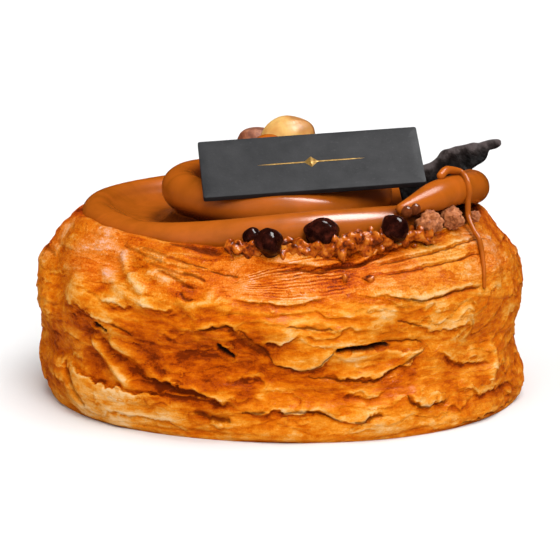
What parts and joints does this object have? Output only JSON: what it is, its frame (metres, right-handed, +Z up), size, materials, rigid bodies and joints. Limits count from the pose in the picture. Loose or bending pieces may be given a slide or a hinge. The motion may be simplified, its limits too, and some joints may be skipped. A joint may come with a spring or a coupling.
{
  "type": "puff pastry",
  "caption": "Round flaky laminated pastry with a rim, topped by a piped spiral of chocolate cream, hazelnuts, a plain plaque, a chocolate shard, crumble and crisp pearls.",
  "frame": {"origin": "centre of the flat base, on the pastry's upright axis", "axes": "+Z up, -Y towards the front that carries the plaque, +X to the right seen from the front"},
  "size_m": [0.1053, 0.1064, 0.0583],
  "materials": {
    "crust": "baked flaky crust, satin",
    "cream": "smooth piped cream, glossy",
    "peeled_nut": "roasted peeled kernel, satin",
    "skinned_nut": "papery skin, matte",
    "plaque": "plain dark grey, matte",
    "dark_chocolate": "dark chocolate with a dull bloom",
    "pearl": "glazed dark chocolate, glossy"
  },
  "bodies": {
    "root": {"pastry": "crust", "hazelnut_cream": "cream", "hazelnut_peeled": "peeled_nut", "hazelnut_skinned": "skinned_nut", "plaque": "plaque", "chocolate_shard": "dark_chocolate", "pearl_front_left": "pearl", "pearl_front": "pearl", "pearl_front_centre": "pearl", "pearl_front_right": "pearl", "pearl_back_left": "pearl", "pearl_back": "pearl"}
  },
  "joints": []
}
